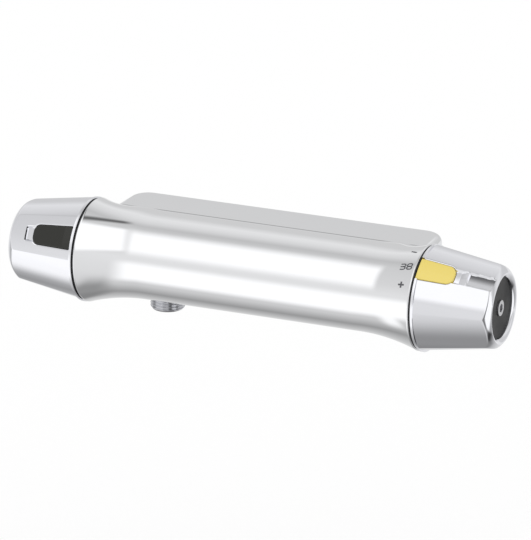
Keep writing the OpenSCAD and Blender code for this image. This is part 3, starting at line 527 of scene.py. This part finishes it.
def handle_lines():
    """Outline of a handle as rows of (u, radius). The tapered side and the shoulder are the skin. The rim
    lies before them; the lip, the sunk end and the cavity's floor follow them."""
    rim_step, row_step, fine_end, coarse_rows = 0.1, 0.3, 30.0, 14
    rim = join(arc(RIM_EDGE, RING_R - RIM_EDGE, RIM_EDGE, 180, 90, 5), [[RIM_W - rim_step, RING_R]])
    side_u = np.concatenate([[RIM_W, RIM_W + rim_step], np.arange(RIM_W + row_step, fine_end, row_step),
                             np.linspace(fine_end, HANDLE_L - SHOULDER_L, coarse_rows)[:-1]])
    centre, (first, last) = shoulder_arc()
    bend = arc(centre[0], centre[1], SHOULDER_R, first, last, 34)
    skin = np.concatenate([np.stack([side_u, cap_radius(side_u)], axis=-1), bend])
    floor = HANDLE_L - DISC_SINK - DISC_T
    recess = DISC_R + DISC_GAP
    lip_r = DISC_R + SHOULDER_LIP
    lip = [[HANDLE_L, lip_r - LIP_TOP_W],
           [HANDLE_L - LIP_TURN_DROP, lip_r - LIP_TURN_W],
           [HANDLE_L - LIP_L + LIP_FOOT_RISE, recess + LIP_FOOT_W],
           [HANDLE_L - LIP_L - LIP_FOOT_DROP, recess]]
    tail = join(lip, [[floor, recess]], [[floor, SCREW_HOLE]], [[CAVITY_L, SCREW_HOLE]])
    return rim, skin, tail


def handle_columns(turn):
    """Angles off the button's middle at which a handle has its columns: half a degree apart over the
    button, close together over the ridges, and a few degrees apart elsewhere."""
    over, beside, closest = 17.0, 19.0, 0.3
    near_ridge = np.linspace(-2.4, 2.4, 13)
    ridges = np.add.outer((np.arange(FLATS) + 0.5) * FLAT_STEP + turn, near_ridge).ravel()
    ridges = ridges[(ridges > beside) & (ridges < 360.0 - beside)]
    phi = np.concatenate([np.arange(-over, over + 0.01, 0.5), ridges, np.arange(beside, 361.0 - beside, 2.5)])
    phi = np.unique(np.round(phi, 3))
    return phi[np.diff(np.append(phi, phi[0] + 360.0)) > closest]


def slot_walls(cut, at_gap, shared, rows, cols):
    """Quads between the slot's outer and inner edge: one wherever a face that is cut out borders one that
    stays. Each outer row is paired with the row at the same place inside the cavity."""
    inner = rows - 1 - np.arange(shared)
    whole = np.zeros((shared + 2, cols), dtype=bool)
    whole[0] = at_gap
    whole[1:-1] = cut[:shared]
    i, j = np.nonzero(whole[1:-1])
    k, left = (j + 1) % cols, (j - 1) % cols
    here, further = i * cols, (i + 1) * cols
    in_here, in_further = inner[i] * cols, inner[i + 1] * cols
    borders = [(whole[i + 1, left], (here + j, further + j, in_further + j, in_here + j)),
               (whole[i + 1, k], (further + k, here + k, in_here + k, in_further + k)),
               (whole[i, j], (here + k, here + j, in_here + j, in_here + k)),
               (whole[i + 2, j], (further + j, further + k, in_further + k, in_further + j))]
    return np.concatenate([np.stack(quad, axis=-1)[~open_side] for open_side, quad in borders])


def handle_shell(name, side, angle, start, stop, turn, dish_l, dish_rise, scooped):
    """A handle's shell as one closed skin. Its outline runs along the rim, the tapered side, the shoulder
    and the sunk end, and back inside the cavity, with the same rows outside and inside up to the cavity's
    floor. On the side the radius is the smaller of the flats' and the outline's; the flats are turned from
    the button by turn degrees. The dish lies behind the slot, and the scoop behind the dish. The faces
    inside the slot are left out, the corners round them move onto the slot's outline, and straight walls
    join its two edges."""
    rim, skin, tail = handle_lines()
    outer = np.concatenate([rim, skin])
    window_reach, floor_gap = 60.0, 0.2
    shared = int(np.sum(outer[:, 0] < CAVITY_L - floor_gap))
    u = np.concatenate([outer[:, 0], tail[:, 0], outer[:shared, 0][::-1]])
    line_r = np.concatenate([outer[:, 1], tail[:, 1], np.zeros(shared)])
    phi = handle_columns(turn)
    rows, cols = len(u), len(phi)
    first_inside = len(outer) + len(tail)
    row = np.arange(rows)
    uu, pp = np.meshgrid(u, phi, indexing="ij")
    is_skin = np.repeat(((row >= len(rim)) & (row < len(outer)))[:, None], cols, axis=1)
    is_inside = np.repeat((row >= first_inside)[:, None], cols, axis=1)
    line_r = np.repeat(line_r[:, None], cols, axis=1)
    front = np.abs(signed_angle(pp)) < window_reach

    def outer_radius(uu, pp):
        """The skin's radius: flats and cap softly joined, less the slot's lip, or a hollow's floor where that
        lies deeper."""
        cap = np.where(is_skin & (uu < HANDLE_L - SHOULDER_L), cap_radius(uu), line_r)
        r = np.where(is_skin, soft_min(flats_radius(uu, pp - turn), cap, EDGE_SOFT), cap)
        v = r * np.sin(np.radians(pp))
        from_slot = slot_distance(uu, v, start, stop, BUTTON_GAP)
        shaped = r - SLOT_LIP * np.clip(1 - from_slot / SLOT_LIP_W, 0, 1) ** 2
        hollows = [dish_floor(uu, v, stop, stop + dish_l, dish_rise)]
        if scooped:
            hollows.append(scoop_floor(uu, v, stop + dish_l))
        for floor, into in hollows:
            shaped = np.minimum(shaped, r + (floor - r) * into)
        return np.where(is_skin & front, shaped, r)

    r = outer_radius(uu, pp)
    v = r * np.sin(np.radians(pp))
    d = slot_distance(uu, v, start, stop, BUTTON_GAP)
    slot = (d < 0) & front & ~is_inside
    # a face of the outer skin is cut out where all its four corners lie in the slot
    beside = (np.arange(cols) + 1) % cols
    cut = slot[:-1] & slot[1:] & slot[:-1][:, beside] & slot[1:][:, beside]
    on_kept_face = np.zeros((rows, cols), dtype=bool)
    i, j = np.nonzero(~cut)
    for at_row, at_column in ((i, j), (i + 1, j), (i, beside[j]), (i + 1, beside[j])):
        on_kept_face[at_row, at_column] = True
    snap = on_kept_face & slot
    # the corners that remain in the slot step down its distance's slope until they lie on its outline
    rounds, small = 4, 1e-3
    for _ in range(rounds):
        du = np.where(is_skin, (slot_distance(uu + small, v, start, stop, BUTTON_GAP) - d) / small, 0)
        dv = (slot_distance(uu, v + small, start, stop, BUTTON_GAP) - d) / small
        size = np.maximum(du ** 2 + dv ** 2, 1e-6)
        uu = np.where(snap, uu - d * du / size, uu)
        v = np.where(snap, v - d * dv / size, v)
        pp = np.where(snap, np.degrees(np.arcsin(np.clip(v / r, -1, 1))), pp)
        r = np.where(snap, outer_radius(uu, pp), r)
        d = slot_distance(uu, v, start, stop, BUTTON_GAP)
    # the cavity: the same places along the handle and, near the slot, across it, at the cavity's radius
    near_slot, fade = 20.0, 35.0
    mirror = np.arange(shared)[::-1]
    back = slice(first_inside, rows)
    uu[back] = uu[mirror]
    r[back] = CAVITY_R - uu[back] * math.tan(TAPER)
    off = signed_angle(pp[mirror])
    same = np.degrees(np.arcsin(np.clip(v[mirror] / r[back], -0.99, 0.99))) - off
    pp[back] = pp[mirror] + same * (1 - smooth((np.abs(off) - near_slot) / fade))
    points = round_about(side * (HANDLE_X + uu), r, angle + pp).reshape(-1, 3)
    at_gap = slot[0] & slot[0][beside]
    drop = np.zeros((rows, cols), dtype=bool)
    drop[:rows - 1] = cut
    drop[first_inside:rows - 1] = cut[:shared - 1][::-1]
    drop[rows - 1] = at_gap
    faces = loop_faces(rows, cols)[~drop.ravel()]
    faces = np.concatenate([faces, slot_walls(cut, at_gap, shared, rows, cols)])
    return add_mesh(name, points, faces, 32)


def button(name, side, angle, start, stop, facet):
    """A button: rows across its plan, which narrows and ends in round corners, carry a crowned top with
    rounded edges and a bottom on the foot's radius; the top and the bottom share their rows and are joined
    by the sides. A facet lowers the top towards the start by that much."""
    slope = (BUTTON_W - BUTTON_END_W) / 2 / (stop - start)

    def corner_inset(along, r):
        """How far a round corner draws in, at a place along it."""
        past = np.clip(along, 0, r)
        return r - np.sqrt(r ** 2 - past ** 2)

    def half_width(u):
        """Half the plan's width: the narrowing sides, less the corners' insets."""
        half = BUTTON_W / 2 - (u - start) * slope - corner_inset(u - (stop - FAR_CORNER), FAR_CORNER)
        return half - corner_inset(start + NEAR_CORNER - u, NEAR_CORNER) if start > 0 else half

    e, edge_share = BUTTON_EDGE, 0.12
    ease = 1 - np.cos(np.linspace(0, np.pi / 2, 7))
    long_rows = np.linspace(start + e, stop - e, 60)[1:-1]
    u = np.concatenate([start + e * ease, long_rows, (stop - e * ease)[::-1]])
    u[0], u[-1] = start, stop
    middle = np.linspace(edge_share - 1, 1 - edge_share, 33)[1:-1]
    t = np.concatenate([-1 + edge_share * ease, middle, (1 - edge_share * ease)[::-1]])
    uu, tt = np.meshgrid(u, t, indexing="ij")
    v = half_width(uu) * tt
    inset = np.clip(-slot_distance(uu, v, start, stop, 0.0), 0, e)
    drop = e - np.sqrt(e ** 2 - (e - inset) ** 2)
    top = crown_height(uu, v) + BUTTON_PROUD - drop - facet * np.clip((start + FACET_L - uu) / FACET_L, 0, 1)
    bottom = np.sqrt(BUTTON_FOOT ** 2 - v ** 2)
    rows, cols = uu.shape

    def place(height):
        """Points at a height over the axis, turned round it by the button's angle."""
        turn = math.radians(angle)
        y = -height * math.cos(turn) + v * math.sin(turn)
        z = height * math.sin(turn) + v * math.cos(turn)
        return np.stack([side * (HANDLE_X + uu), y - AXIS_BACK, z], axis=-1).reshape(-1, 3)

    count = rows * cols
    grid = tube_faces(rows, cols).reshape(rows - 1, cols, 4)[:, :-1].reshape(-1, 4)
    first, last = np.arange(cols), (rows - 1) * cols + np.arange(cols - 1)[::-1]
    far_side, near_side = np.arange(1, rows) * cols + cols - 1, np.arange(1, rows - 1)[::-1] * cols
    edge = np.concatenate([first, far_side, last, near_side])
    after = np.roll(edge, -1)
    rim = np.stack([edge, after, after + count, edge + count], axis=-1)
    faces = np.concatenate([grid, grid[:, ::-1] + count, rim])
    return add_mesh(name, np.concatenate([place(top), place(bottom)]), faces, 35)


temp_shell = handle_shell("temp_handle_skin", **TEMP_WINDOW, turn=FLAT_STEP / 2,
                          dish_l=7.6, dish_rise=4.6, scooped=True)
flow_shell = handle_shell("flow_handle_skin", **FLOW_WINDOW, turn=0.0,
                          dish_l=5.4, dish_rise=0.6, scooped=False)
temp_key = button("temp_button_skin", **TEMP_WINDOW, facet=0.0)
flow_key = button("flow_button_skin", **FLOW_WINDOW, facet=1.0)


# Outlet

def outlet_nipple(name):
    """The outlet's nipple about its own upright axis: its outline is carried round, and the radius of the
    threaded rows falls by the thread's depth as a rounded wave that climbs one pitch a turn and fades at
    both ends."""
    rows, cols, first_row = 90, 120, 0.4
    bow_in, bow_up = 0.5 * OUTLET_CHAMFER, 0.45 * OUTLET_CHAMFER
    root, top, end = -BLOCK_H / 2, -BLOCK_H / 2 + OUTLET_ROOT, -BLOCK_H / 2 - OUTLET_L
    z = np.concatenate([[top], np.linspace(top - first_row, end + OUTLET_CHAMFER, rows)])
    outer = np.stack([np.full(len(z), OUTLET_R), z], axis=-1)
    low = [[OUTLET_R - bow_in, end + bow_up], [OUTLET_R - OUTLET_CHAMFER, end],
           [OUTLET_BORE + OUTLET_MOUTH, end], [OUTLET_BORE, end + OUTLET_MOUTH], [OUTLET_BORE, top]]
    line = np.concatenate([outer, low])
    turn = np.arange(cols) * 2 * np.pi / cols
    rr = np.repeat(line[:, :1], cols, axis=1)
    zz = np.repeat(line[:, 1:], cols, axis=1)
    wave = np.abs(2 * ((zz / THREAD_PITCH + turn[None, :] / (2 * np.pi)) % 1.0) - 1)
    fade = smooth((root - THREAD_START - zz) / THREAD_START_FADE)
    fade = fade * smooth((zz - end - THREAD_STOP) / THREAD_STOP_FADE)
    threaded = np.arange(len(line))[:, None] < len(outer) + 1
    rr = rr - THREAD_DEPTH * smooth(wave * THREAD_CREST) * fade * threaded
    x, y = OUTLET_X + rr * np.cos(turn), OUTLET_BACK - AXIS_BACK + rr * np.sin(turn)
    return add_mesh(name, np.stack([x, y, zz], axis=-1).reshape(-1, 3), loop_faces(len(line), cols), 40)


# Printed marks

def ribbon(path, width, closed):
    """A flat band along a path on the body's flare, as corner points and faces. The path is in millimetres
    along the mixer and up round it. The band's two faces lie just above and below the body's surface."""
    ahead = np.roll(path, -1, axis=0) - path if closed else np.gradient(path, axis=0)
    if closed:
        ahead = ahead + np.roll(ahead, 1, axis=0)
    ahead = ahead / np.linalg.norm(ahead, axis=1, keepdims=True)
    side = np.stack([-ahead[:, 1], ahead[:, 0]], axis=-1) * width / 2
    corners = []
    for sign, lift in ((1, MARK_LIFT), (-1, MARK_LIFT), (-1, -MARK_LIFT), (1, -MARK_LIFT)):
        x, up_round = (path + sign * side).T
        corners.append(round_about(x, body_radius(x) + lift, np.degrees(up_round / RING_R)))
    points = np.stack(corners, axis=1).reshape(-1, 3)
    count = len(path)
    if closed:
        return points, loop_faces(count, 4)
    last = (count - 1) * 4
    ends = np.array([[3, 2, 1, 0], [last, last + 1, last + 2, last + 3]])
    return points, np.concatenate([tube_faces(count, 4), ends])


def dense(path, step=0.3):
    """A path with added points, so that it follows a round surface."""
    path = np.asarray(path, dtype=float)
    out = [path[:1]]
    for a, b in zip(path[:-1], path[1:]):
        n = max(int(np.ceil(np.linalg.norm(b - a) / step)), 1)
        out.append(a + (b - a) * np.linspace(0, 1, n + 1)[1:, None])
    return np.concatenate(out)


def mark(name, at, strokes, width):
    """One printed mark from its strokes, each a path about the mark's middle. The middle lies at a place
    along the mixer and an angle round it."""
    verts, faces, base = [], [], 0
    for path, closed in strokes:
        place = dense(path) + [at[0], math.radians(at[1]) * RING_R]
        if closed:
            place = place[:-1]
        points, quads = ribbon(place, width, closed)
        verts.append(points)
        faces.append(quads + base)
        base += len(points)
    return add_mesh(name, np.concatenate(verts), np.concatenate(faces), 30)


def digit_loop(cx, cy, w, h):
    """A closed loop with straight top and bottom and round ends, w wide and h high."""
    r = h / 2
    path = join(arc(cx + w / 2 - r, cy, r, 90, -90, 13), arc(cx - w / 2 + r, cy, r, 270, 90, 13))
    return np.concatenate([path, path[:1]])


def digit_hook(cx, cy, w, h, inset):
    """Half of a three: a straight top, a round right end and a bottom that stops short by the inset."""
    r = h / 2
    left = cx - w / 2
    return join([[left, cy + r]], arc(cx + w / 2 - r, cy, r, 90, -90, 13), [[left + inset, cy - r]])


def temperature_marks():
    """The marks by the temperature handle: less, the scale's comfort figure and more."""
    w, h, x, bar = FIGURE_W, FIGURE_H, FIGURE_STEP / 2, MARK_BAR / 2
    three = [(digit_hook(-x, h / 4, w, h / 2, w * HOOK_INSET), False),
             (digit_hook(-x, -h / 4, w, h / 2, 0.0), False)]
    eight = [(digit_loop(x, h / 4, w, h / 2), True), (digit_loop(x, -h / 4, w, h / 2), True)]
    less = [([[-LESS_RUN, LESS_DROP], [LESS_RUN, -LESS_DROP]], False)]
    more = [([[-bar, 0], [bar, 0]], False), ([[0, -bar], [0, bar]], False)]
    return [mark("mark_less", LESS_AT, less, MARK_BAR_W),
            mark("mark_figure", FIGURE_AT, three + eight, MARK_W),
            mark("mark_more", MORE_AT, more, MARK_BAR_W)]


nipple = outlet_nipple("outlet_nipple_skin")
marks = temperature_marks()
body = round_body("round_body")
block = rear_block("rear_block")

# Each piece with its finish, the body it rides on, its slot and the nodes whose place it takes
PIECES = [
    (body, chrome, "mixer", "chrome", ["mixer_body"]),
    (block, block_chrome, "mixer", "chrome", ["mixer_body"]),
    (temp_shell, handle_chrome, "temp_handle", "handle_chrome", ["temp_handle_shell"]),
    (flow_shell, handle_chrome, "flow_handle", "handle_chrome", ["flow_handle_shell"]),
    (temp_key, yellow_plastic, "temp_button", "yellow_plastic", ["temp_button"]),
    (flow_key, olive_plastic, "flow_button", "olive_plastic", ["flow_button"]),
    (nipple, thread_chrome_painted_shade, "mixer", "chrome", ["outlet_nipple"]),
]
PIECES += [(piece, ink, "mixer", "black_plastic", []) for piece in marks]
for piece, material, rides, slot, nodes in PIECES:
    dress(piece, material)
    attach(piece, rides)
    if nodes:
        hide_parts(*nodes)

for row in frame["record"]["subparts"]:
    node = frame["nodes"][row["node"]]
    material = SLOTS[row["material_slot"]]
    if not node.data.materials:
        node.data.materials.append(material)
    for place in range(len(node.data.materials)):
        node.data.materials[place] = material


# Surroundings

# The light tent, in metres
TENT_R, TENT_L, TENT_GAIN = 8.0, 20.0, 1.09

# Brightness of the bare tent, 0 to 255 as it shows in the metal, by the angle round the axis
TENT_LEVELS = [(-180, 220), (-157, 226), (-130, 198), (-110, 176), (-95, 150), (-80, 176), (-65, 200),
               (-30, 216), (12, 222), (40, 210), (90, 202), (109, 188), (125, 210), (146, 224), (160, 202),
               (180, 200)]
# Panels before it: place along the axis as a share of the tent's radius, angle, half length, half height in
# degrees, softness of the end edges and of the long edges, lean in degrees over one radius, and brightness
PANELS = [(0.15, -98, 0.40, 14, 0.14, 60, 0, 136),
          (-0.08, -84, 0.11, 26, 0.14, 44, 0, 142),
          (-0.83, -50, 0.13, 24, 0.20, 26, 0, 250),
          (0.12, -106, 0.36, 11, 0.14, 16, 0, 132),
          (-1.20, -26, 0.96, 26, 0.24, 20, 0, 255),
          (-0.495, 56, 0.175, 31, 0.12, 26, 0, 255),
          (0.035, 49, 0.325, 30, 0.12, 10, -28, 255),
          (-0.04, 96, 0.26, 4.0, 0.12, 7, -56, 100),
          (1.90, 0, 0.75, 80, 0.20, 30, 0, 255),
          (0.82, -12, 0.34, 50, 0.30, 40, 0, 124),
          (0.82, -92, 0.34, 20, 0.30, 36, 0, 60),
          (3.40, -20, 0.55, 60, 0.40, 40, 0, 120)]

FLOOR_HALF, FLOOR_Z = 8.0, -0.3


def level(value):
    """Scene-linear light level that shows as the given brightness, from 0 to 255, by the sRGB curve."""
    s = value / 255.0
    return s / 12.92 if s <= 0.04045 else ((s + 0.055) / 1.055) ** 2.4


def tent_mesh():
    """A closed drum about the mixer's long axis: rings of points at even steps along it, joined to a tube,
    and a fan of triangles over each end."""
    count, rings = 72, 21
    t = np.radians(np.arange(count) * 360.0 / count)
    skin = [np.stack([np.full(count, x), -TENT_R * np.cos(t), TENT_R * np.sin(t)], axis=-1)
            for x in np.linspace(-TENT_L, TENT_L, rings)]
    verts = np.concatenate(skin + [[[-TENT_L, 0, 0], [TENT_L, 0, 0]]]) - [0, AXIS_BACK * MM, 0]
    quads = tube_faces(rings, count)
    here = np.arange(count)
    beside = (here + 1) % count
    hub, last = rings * count, (rings - 1) * count
    caps = [np.stack([np.full(count, hub), here, beside], axis=-1),
            np.stack([np.full(count, hub + 1), last + beside, last + here], axis=-1)]
    faces = np.concatenate([quads[:, [0, 1, 2]], quads[:, [0, 2, 3]], *caps])
    return add_mesh("light_tent", verts / MM, faces, 60)


def tent_light():
    """The tent's light: its level follows the angle round the axis, and each panel is mixed over it by the
    product of two soft masks, one along the axis and one round it."""
    material, tree, out = node_material("tent_light")
    nodes, links = tree.nodes, tree.links
    place = nodes.new("ShaderNodeTexCoord")
    split = nodes.new("ShaderNodeSeparateXYZ")
    links.new(place.outputs["Object"], split.inputs["Vector"])

    def math_node(kind, *values):
        """A Math node's result from numbers or other nodes' outputs."""
        n = nodes.new("ShaderNodeMath")
        n.operation = kind
        for slot, value in enumerate(values):
            if isinstance(value, (int, float)):
                n.inputs[slot].default_value = value
            else:
                links.new(value, n.inputs[slot])
        return n.outputs[0]

    def mask(off, half, soft):
        """1 within half of the middle and 0 beyond it, with a soft step of the given width between them."""
        n = nodes.new("ShaderNodeMapRange")
        n.interpolation_type = "SMOOTHSTEP"
        links.new(math_node("ABSOLUTE", off), n.inputs["Value"])
        n.inputs["From Min"].default_value = half + soft / 2
        n.inputs["From Max"].default_value = half - soft / 2
        return n.outputs["Result"]

    def shade(value):
        """Grey of the given brightness, as a colour."""
        return (*[level(value)] * 3, 1)

    front = math_node("SUBTRACT", -AXIS_BACK * MM, split.outputs["Y"])
    angle = math_node("ARCTAN2", split.outputs["Z"], front)
    share = math_node("ADD", math_node("DIVIDE", angle, 2 * math.pi), 0.5)
    along = math_node("DIVIDE", split.outputs["X"], TENT_R)
    degrees = math_node("MULTIPLY", angle, 180 / math.pi)
    ramp = nodes.new("ShaderNodeValToRGB")
    stops = ramp.color_ramp.elements
    stops.remove(stops[-1])
    for number, (turn, value) in enumerate(TENT_LEVELS):
        stop = stops[0] if number == 0 else stops.new((turn + 180) / 360)
        stop.position = (turn + 180) / 360
        stop.color = shade(value)
    links.new(share, ramp.inputs["Fac"])
    light = ramp.outputs["Color"]
    for panel_x, turn, half_x, half_turn, soft_x, soft_turn, lean, value in PANELS:
        off_x = math_node("SUBTRACT", along, panel_x)
        leaning = math_node("MULTIPLY", off_x, lean)
        off_turn = math_node("SUBTRACT", math_node("SUBTRACT", degrees, turn), leaning)
        inside = math_node("MULTIPLY", mask(off_x, half_x, soft_x), mask(off_turn, half_turn, soft_turn))
        panel = nodes.new("ShaderNodeMix")
        panel.data_type = "RGBA"
        links.new(inside, panel.inputs["Factor"])
        links.new(light, panel.inputs["A"])
        panel.inputs["B"].default_value = shade(value)
        light = panel.outputs["Result"]
    shine = nodes.new("ShaderNodeEmission")
    shine.inputs["Strength"].default_value = TENT_GAIN
    links.new(light, shine.inputs["Color"])
    links.new(shine.outputs["Emission"], out.inputs["Surface"])
    return material


def make_tent():
    """The light tent, seen only as a reflection: it lights nothing else and casts no shadow."""
    tent = dress(tent_mesh(), tent_light())
    tent.visible_camera = False
    tent.visible_diffuse = False
    tent.visible_shadow = False
    tent.visible_transmission = False


def make_floor():
    """A pale plane below the mixer, so far down that its shadow falls outside the view. The metal doesn't
    reflect it."""
    s, z = FLOOR_HALF, FLOOR_Z
    mesh = bpy.data.meshes.new("floor")
    mesh.from_pydata([(-s, -s, z), (s, -s, z), (s, s, z), (-s, s, z)], [], [(0, 1, 2, 3)])
    floor = bpy.data.objects.new("floor", mesh)
    bpy.context.scene.collection.objects.link(floor)
    material, tree, out = node_material("pale_floor")
    shader = tree.nodes.new("ShaderNodeBsdfDiffuse")
    shader.inputs["Color"].default_value = (1, 1, 1, 1)
    tree.links.new(shader.outputs["BSDF"], out.inputs["Surface"])
    dress(floor, material)
    floor.visible_glossy = False


def make_world():
    """Even white light from all sides; the camera sees it as plain white."""
    world = bpy.data.worlds.new("studio")
    bpy.context.scene.world = world
    world.use_nodes = True
    back = world.node_tree.nodes["Background"]
    back.inputs["Color"].default_value = (1, 1, 1, 1)
    back.inputs["Strength"].default_value = 1.0


make_tent()
make_floor()
make_world()
